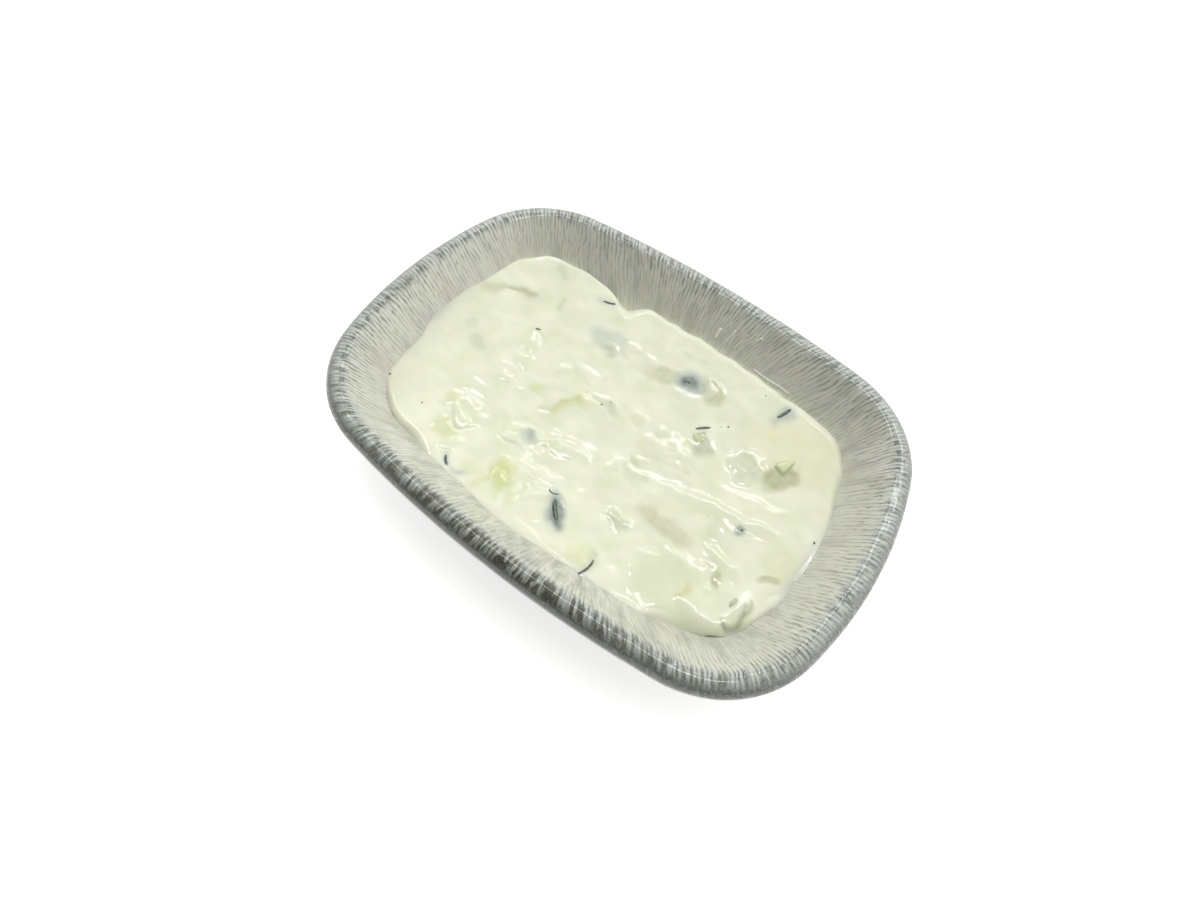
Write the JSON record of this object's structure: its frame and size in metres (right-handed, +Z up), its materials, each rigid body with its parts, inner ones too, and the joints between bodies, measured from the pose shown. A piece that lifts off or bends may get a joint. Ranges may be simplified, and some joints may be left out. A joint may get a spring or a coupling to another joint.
{
  "type": "tzatziki dip",
  "caption": "Tzatziki dip of strained yoghurt with coated cucumber pieces and dark peel, in a small bowed rectangular grey-streaked glazed stoneware dish with a rolled lip.",
  "frame": {"origin": "on the table, under the middle of the dish's foot ring", "axes": "+X along the dish, +Y across it, +Z up"},
  "size_m": [0.15, 0.108, 0.03],
  "materials": {
    "stoneware_glaze": "glossy pale grey glaze with fine dark streaks down the walls",
    "yoghurt": "wet glossy strained yoghurt, faintly green from the cucumber",
    "cucumber_flesh": "wet translucent pale green flesh",
    "cucumber_peel": "wet dark green peel"
  },
  "bodies": {
    "root": {"dish": "stoneware_glaze", "tzatziki": "yoghurt", "cucumber_wedge": "cucumber_flesh", "cucumber_lump_right": "cucumber_flesh", "cucumber_slice": "cucumber_flesh", "cucumber_crescent": "cucumber_flesh", "cucumber_chunk_near": "cucumber_flesh", "cucumber_chunk_left": "cucumber_flesh", "cucumber_chunk_green": "cucumber_flesh", "cucumber_core_strip": "cucumber_flesh", "cucumber_seed_oval": "cucumber_flesh", "cucumber_peel_strip": "cucumber_peel"}
  },
  "joints": []
}
